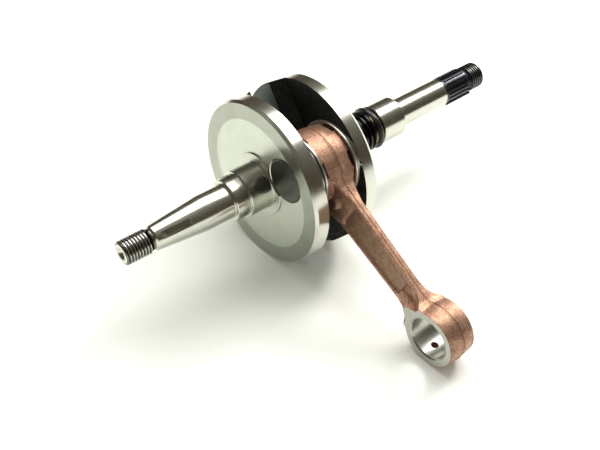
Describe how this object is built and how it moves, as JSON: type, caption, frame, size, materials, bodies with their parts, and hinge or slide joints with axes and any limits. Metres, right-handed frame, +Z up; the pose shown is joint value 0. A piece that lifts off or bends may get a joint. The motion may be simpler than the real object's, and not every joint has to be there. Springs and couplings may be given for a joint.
{
  "type": "crankshaft",
  "caption": "Built-up crankshaft of a small two-stroke engine: two full-disc webs, tapered and splined shafts, and a connecting rod that swings on a caged needle bearing.",
  "frame": {"origin": "middle of the bounding box, on the surface the part rests on", "axes": "+X along the crank axis towards the splined drive end, +Y away from the small end, +Z up"},
  "size_m": [0.1944, 0.1354, 0.071],
  "materials": {
    "ground_steel": "turned and ground",
    "pin_steel": "hardened, dull grey",
    "copper_plate": "copper-plated steel forging",
    "washer_steel": "stamped and tumbled",
    "cage_steel": "pressed steel",
    "bearing_steel": "lapped",
    "nitrile": "black nitrile rubber"
  },
  "bodies": {
    "crank": {"left_crank_half": "ground_steel", "right_crank_half": "ground_steel", "crank_pin": "pin_steel", "shaft_o_ring": "nitrile"},
    "connecting_rod": {"connecting_rod": "copper_plate"},
    "needle_cage": {"needle_cage": "cage_steel"},
    "left_thrust_washer": {"left_thrust_washer": "washer_steel"},
    "right_thrust_washer": {"right_thrust_washer": "washer_steel"},
    "needle_roller_01": {"needle_roller_01": "bearing_steel"},
    "needle_roller_02": {"needle_roller_02": "bearing_steel"},
    "needle_roller_03": {"needle_roller_03": "bearing_steel"},
    "needle_roller_04": {"needle_roller_04": "bearing_steel"},
    "needle_roller_05": {"needle_roller_05": "bearing_steel"},
    "needle_roller_06": {"needle_roller_06": "bearing_steel"},
    "needle_roller_07": {"needle_roller_07": "bearing_steel"},
    "needle_roller_08": {"needle_roller_08": "bearing_steel"},
    "needle_roller_09": {"needle_roller_09": "bearing_steel"},
    "needle_roller_10": {"needle_roller_10": "bearing_steel"},
    "needle_roller_11": {"needle_roller_11": "bearing_steel"},
    "needle_roller_12": {"needle_roller_12": "bearing_steel"},
    "needle_roller_13": {"needle_roller_13": "bearing_steel"},
    "needle_roller_14": {"needle_roller_14": "bearing_steel"}
  },
  "joints": [
    {"name": "rod_swing", "type": "hinge", "parent": "crank", "child": "connecting_rod", "pos_m": [-0.0166, 0.01628, 0.04699], "axis": [1, 0, 0], "continuous": true},
    {"name": "cage_turn", "type": "hinge", "parent": "crank", "child": "needle_cage", "pos_m": [-0.0166, 0.01628, 0.04699], "axis": [1, 0, 0], "continuous": true},
    {"name": "left_washer_turn", "type": "hinge", "parent": "crank", "child": "left_thrust_washer", "pos_m": [-0.02435, 0.01628, 0.04699], "axis": [1, 0, 0], "continuous": true},
    {"name": "right_washer_turn", "type": "hinge", "parent": "crank", "child": "right_thrust_washer", "pos_m": [-0.00885, 0.01628, 0.04699], "axis": [1, 0, 0], "continuous": true},
    {"name": "roller_01_spin", "type": "hinge", "parent": "needle_cage", "child": "needle_roller_01", "pos_m": [-0.0166, 0.02678, 0.04699], "axis": [1, 0, 0], "continuous": true},
    {"name": "roller_02_spin", "type": "hinge", "parent": "needle_cage", "child": "needle_roller_02", "pos_m": [-0.0166, 0.02574, 0.05155], "axis": [1, 0, 0], "continuous": true},
    {"name": "roller_03_spin", "type": "hinge", "parent": "needle_cage", "child": "needle_roller_03", "pos_m": [-0.0166, 0.02283, 0.0552], "axis": [1, 0, 0], "continuous": true},
    {"name": "roller_04_spin", "type": "hinge", "parent": "needle_cage", "child": "needle_roller_04", "pos_m": [-0.0166, 0.01862, 0.05723], "axis": [1, 0, 0], "continuous": true},
    {"name": "roller_05_spin", "type": "hinge", "parent": "needle_cage", "child": "needle_roller_05", "pos_m": [-0.0166, 0.01395, 0.05723], "axis": [1, 0, 0], "continuous": true},
    {"name": "roller_06_spin", "type": "hinge", "parent": "needle_cage", "child": "needle_roller_06", "pos_m": [-0.0166, 0.00974, 0.0552], "axis": [1, 0, 0], "continuous": true},
    {"name": "roller_07_spin", "type": "hinge", "parent": "needle_cage", "child": "needle_roller_07", "pos_m": [-0.0166, 0.00682, 0.05155], "axis": [1, 0, 0], "continuous": true},
    {"name": "roller_08_spin", "type": "hinge", "parent": "needle_cage", "child": "needle_roller_08", "pos_m": [-0.0166, 0.00578, 0.04699], "axis": [1, 0, 0], "continuous": true},
    {"name": "roller_09_spin", "type": "hinge", "parent": "needle_cage", "child": "needle_roller_09", "pos_m": [-0.0166, 0.00682, 0.04244], "axis": [1, 0, 0], "continuous": true},
    {"name": "roller_10_spin", "type": "hinge", "parent": "needle_cage", "child": "needle_roller_10", "pos_m": [-0.0166, 0.00974, 0.03878], "axis": [1, 0, 0], "continuous": true},
    {"name": "roller_11_spin", "type": "hinge", "parent": "needle_cage", "child": "needle_roller_11", "pos_m": [-0.0166, 0.01395, 0.03676], "axis": [1, 0, 0], "continuous": true},
    {"name": "roller_12_spin", "type": "hinge", "parent": "needle_cage", "child": "needle_roller_12", "pos_m": [-0.0166, 0.01862, 0.03676], "axis": [1, 0, 0], "continuous": true},
    {"name": "roller_13_spin", "type": "hinge", "parent": "needle_cage", "child": "needle_roller_13", "pos_m": [-0.0166, 0.02283, 0.03878], "axis": [1, 0, 0], "continuous": true},
    {"name": "roller_14_spin", "type": "hinge", "parent": "needle_cage", "child": "needle_roller_14", "pos_m": [-0.0166, 0.02574, 0.04244], "axis": [1, 0, 0], "continuous": true}
  ],
  "couplings": [
    {"joint": "cage_turn", "follows": "rod_swing", "ratio": 0.55952},
    {"joint": "roller_01_spin", "follows": "rod_swing", "ratio": 4.1405},
    {"joint": "roller_02_spin", "follows": "rod_swing", "ratio": 4.1405},
    {"joint": "roller_03_spin", "follows": "rod_swing", "ratio": 4.1405},
    {"joint": "roller_04_spin", "follows": "rod_swing", "ratio": 4.1405},
    {"joint": "roller_05_spin", "follows": "rod_swing", "ratio": 4.1405},
    {"joint": "roller_06_spin", "follows": "rod_swing", "ratio": 4.1405},
    {"joint": "roller_07_spin", "follows": "rod_swing", "ratio": 4.1405},
    {"joint": "roller_08_spin", "follows": "rod_swing", "ratio": 4.1405},
    {"joint": "roller_09_spin", "follows": "rod_swing", "ratio": 4.1405},
    {"joint": "roller_10_spin", "follows": "rod_swing", "ratio": 4.1405},
    {"joint": "roller_11_spin", "follows": "rod_swing", "ratio": 4.1405},
    {"joint": "roller_12_spin", "follows": "rod_swing", "ratio": 4.1405},
    {"joint": "roller_13_spin", "follows": "rod_swing", "ratio": 4.1405},
    {"joint": "roller_14_spin", "follows": "rod_swing", "ratio": 4.1405}
  ]
}
